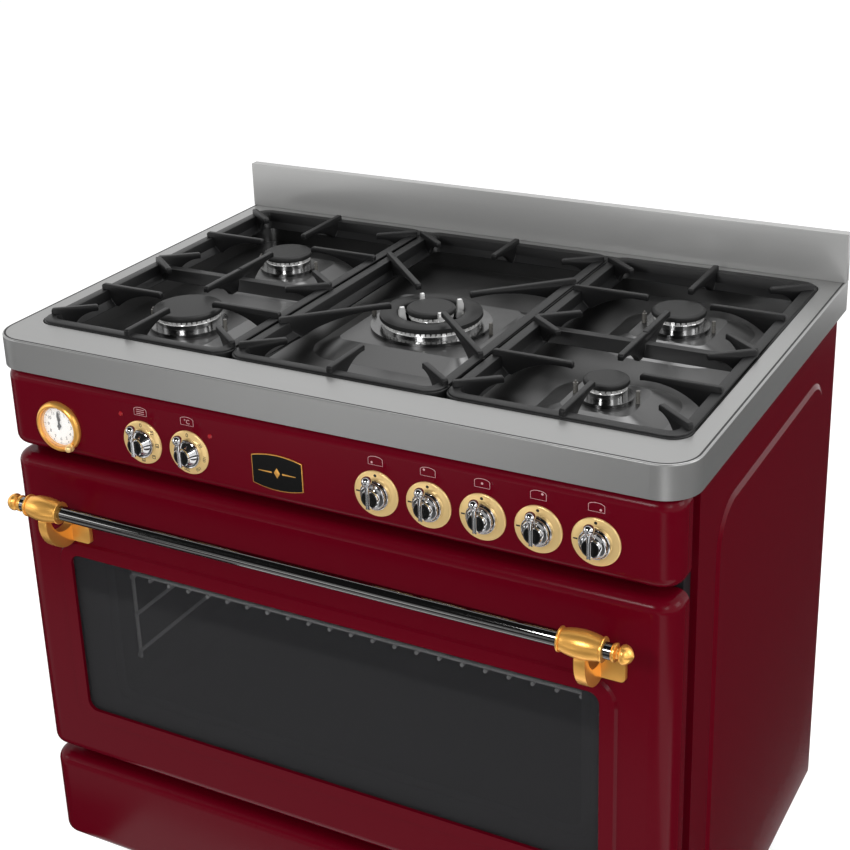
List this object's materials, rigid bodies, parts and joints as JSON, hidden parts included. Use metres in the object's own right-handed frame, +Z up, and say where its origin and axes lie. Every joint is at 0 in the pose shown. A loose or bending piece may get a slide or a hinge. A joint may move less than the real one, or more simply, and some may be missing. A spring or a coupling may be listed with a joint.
{
  "type": "kitchen stove",
  "caption": "Free-standing wide range in burgundy enamel: gas hob with cast-iron grates and a low backsplash, drop-down oven door with brass-ended bar handle, storage drawer.",
  "frame": {"origin": "on the floor, in the middle of the overall box", "axes": "+X to the right as the cook sees it, +Y to the rear, +Z up"},
  "size_m": [0.9, 0.6569, 0.915],
  "materials": {
    "burgundy_enamel": "glossy vitreous enamel",
    "stainless": "brushed along the width",
    "zinc_steel": "zinc-coated sheet",
    "grey_enamel": "speckled oven enamel",
    "black_enamel": "glossy black enamel",
    "cast_iron": "matt enamelled cast iron",
    "burner_alloy": "polished aluminium",
    "brass": "polished",
    "black_chrome": "dark chrome",
    "chrome_wire": "chromed wire",
    "seal_rubber": "silicone gasket",
    "ceramic": null,
    "switch_plastic": "moulded",
    "element_steel": "heat-tinted steel",
    "clear_glass": "tempered, lightly tinted",
    "dial_white": "printed dial",
    "hand_black": "black lacquer",
    "lens_red": "translucent lens"
  },
  "bodies": {
    "cabinet": {"side_panel_left": "burgundy_enamel", "side_panel_right": "burgundy_enamel", "rear_panel": "zinc_steel", "base_pan": "zinc_steel", "levelling_feet": "zinc_steel", "oven_cavity": "grey_enamel", "oven_seal": "seal_rubber", "fan_cover": "grey_enamel", "fan_motor": "element_steel", "heating_elements": "element_steel", "oven_lamp": "clear_glass", "shelf_rails": "chrome_wire", "wire_shelf": "chrome_wire", "hob_top": "stainless", "hob_tray": "black_enamel", "backsplash": "stainless", "control_fascia": "burgundy_enamel", "gas_manifold": "zinc_steel", "gas_valves": "brass", "gas_pipes": "burner_alloy", "burner_cups": "burner_alloy", "burner_heads": "burner_alloy", "burner_caps": "black_enamel", "burner_probes": "ceramic", "oven_controls": "switch_plastic", "knob_bezels": "brass", "clock_case": "brass", "clock_dial": "dial_white", "clock_glass": "clear_glass", "badge_plate": "hand_black", "pilot_lamps": "lens_red"},
    "door": {"door_panel": "burgundy_enamel", "door_glass": "clear_glass", "door_liner": "grey_enamel", "inner_glass": "clear_glass", "door_hinges": "zinc_steel", "handle_bar": "black_chrome", "handle_brackets": "brass", "handle_finials": "brass"},
    "drawer": {"drawer_front": "burgundy_enamel", "drawer_box": "zinc_steel"},
    "gas_plug_1": {"gas_plug_1": "brass"},
    "gas_plug_2": {"gas_plug_2": "brass"},
    "gas_plug_3": {"gas_plug_3": "brass"},
    "gas_plug_4": {"gas_plug_4": "brass"},
    "gas_plug_5": {"gas_plug_5": "brass"},
    "gas_knob_1": {"gas_knob_1": "black_chrome"},
    "gas_knob_2": {"gas_knob_2": "black_chrome"},
    "gas_knob_3": {"gas_knob_3": "black_chrome"},
    "gas_knob_4": {"gas_knob_4": "black_chrome"},
    "gas_knob_5": {"gas_knob_5": "black_chrome"},
    "selector_knob": {"selector_knob": "black_chrome"},
    "thermostat_knob": {"thermostat_knob": "black_chrome"},
    "grate_left": {"grate_left": "cast_iron"},
    "grate_centre": {"grate_centre": "cast_iron"},
    "grate_right": {"grate_right": "cast_iron"},
    "minute_hand": {"minute_hand": "hand_black"},
    "hour_hand": {"hour_hand": "hand_black"},
    "clock_knob": {"clock_knob": "brass"},
    "fan_wheel": {"fan_wheel": "element_steel"}
  },
  "joints": [
    {"name": "door_hinge", "type": "hinge", "parent": "cabinet", "child": "door", "pos_m": [0, -0.2455, 0.2865], "axis": [1, 0, 0], "range_deg": [0, 90], "stiffness_Nm_per_rad": 10, "springref_deg": -34.38},
    {"name": "drawer_slide", "type": "slide", "parent": "cabinet", "child": "drawer", "axis": [0, -1, 0], "range_m": [0, 0.27]},
    {"name": "gas_turn_1", "type": "hinge", "parent": "cabinet", "child": "gas_plug_1", "pos_m": [0.092, -0.2435, 0.7485], "axis": [0, -1, 0], "range_deg": [0, 210]},
    {"name": "gas_push_1", "type": "slide", "parent": "gas_plug_1", "child": "gas_knob_1", "axis": [0, 1, 0], "range_m": [0, 0.004], "stiffness_N_per_m": 1000, "springref_m": -0.002},
    {"name": "gas_turn_2", "type": "hinge", "parent": "cabinet", "child": "gas_plug_2", "pos_m": [0.1568, -0.2435, 0.7485], "axis": [0, -1, 0], "range_deg": [0, 210]},
    {"name": "gas_push_2", "type": "slide", "parent": "gas_plug_2", "child": "gas_knob_2", "axis": [0, 1, 0], "range_m": [0, 0.004], "stiffness_N_per_m": 1000, "springref_m": -0.002},
    {"name": "gas_turn_3", "type": "hinge", "parent": "cabinet", "child": "gas_plug_3", "pos_m": [0.2216, -0.2435, 0.7485], "axis": [0, -1, 0], "range_deg": [0, 210]},
    {"name": "gas_push_3", "type": "slide", "parent": "gas_plug_3", "child": "gas_knob_3", "axis": [0, 1, 0], "range_m": [0, 0.004], "stiffness_N_per_m": 1000, "springref_m": -0.002},
    {"name": "gas_turn_4", "type": "hinge", "parent": "cabinet", "child": "gas_plug_4", "pos_m": [0.2864, -0.2435, 0.7485], "axis": [0, -1, 0], "range_deg": [0, 210]},
    {"name": "gas_push_4", "type": "slide", "parent": "gas_plug_4", "child": "gas_knob_4", "axis": [0, 1, 0], "range_m": [0, 0.004], "stiffness_N_per_m": 1000, "springref_m": -0.002},
    {"name": "gas_turn_5", "type": "hinge", "parent": "cabinet", "child": "gas_plug_5", "pos_m": [0.3512, -0.2435, 0.7485], "axis": [0, -1, 0], "range_deg": [0, 210]},
    {"name": "gas_push_5", "type": "slide", "parent": "gas_plug_5", "child": "gas_knob_5", "axis": [0, 1, 0], "range_m": [0, 0.004], "stiffness_N_per_m": 1000, "springref_m": -0.002},
    {"name": "selector_turn", "type": "hinge", "parent": "cabinet", "child": "selector_knob", "pos_m": [-0.2266, -0.2695, 0.7485], "axis": [0, 1, 0], "continuous": true},
    {"name": "thermostat_turn", "type": "hinge", "parent": "cabinet", "child": "thermostat_knob", "pos_m": [-0.1594, -0.2695, 0.7485], "axis": [0, 1, 0], "range_deg": [0, 270]},
    {"name": "grate_left_lift", "type": "slide", "parent": "cabinet", "child": "grate_left", "axis": [0, 0, 1], "range_m": [0, 0.12]},
    {"name": "grate_centre_lift", "type": "slide", "parent": "cabinet", "child": "grate_centre", "axis": [0, 0, 1], "range_m": [0, 0.12]},
    {"name": "grate_right_lift", "type": "slide", "parent": "cabinet", "child": "grate_right", "axis": [0, 0, 1], "range_m": [0, 0.12]},
    {"name": "minute_turn", "type": "hinge", "parent": "cabinet", "child": "minute_hand", "pos_m": [-0.354, -0.2695, 0.745], "axis": [0, 1, 0], "continuous": true},
    {"name": "hour_turn", "type": "hinge", "parent": "cabinet", "child": "hour_hand", "pos_m": [-0.354, -0.2695, 0.745], "axis": [0, 1, 0], "continuous": true},
    {"name": "clock_set", "type": "hinge", "parent": "cabinet", "child": "clock_knob", "pos_m": [-0.33258, -0.2695, 0.72357], "axis": [0, 1, 0], "continuous": true},
    {"name": "fan_spin", "type": "hinge", "parent": "cabinet", "child": "fan_wheel", "pos_m": [0, 0.209, 0.4835], "axis": [0, 1, 0], "continuous": true}
  ],
  "couplings": [
    {"joint": "hour_turn", "follows": "minute_turn", "ratio": 0.083333},
    {"joint": "clock_set", "follows": "minute_turn", "ratio": -1}
  ]
}
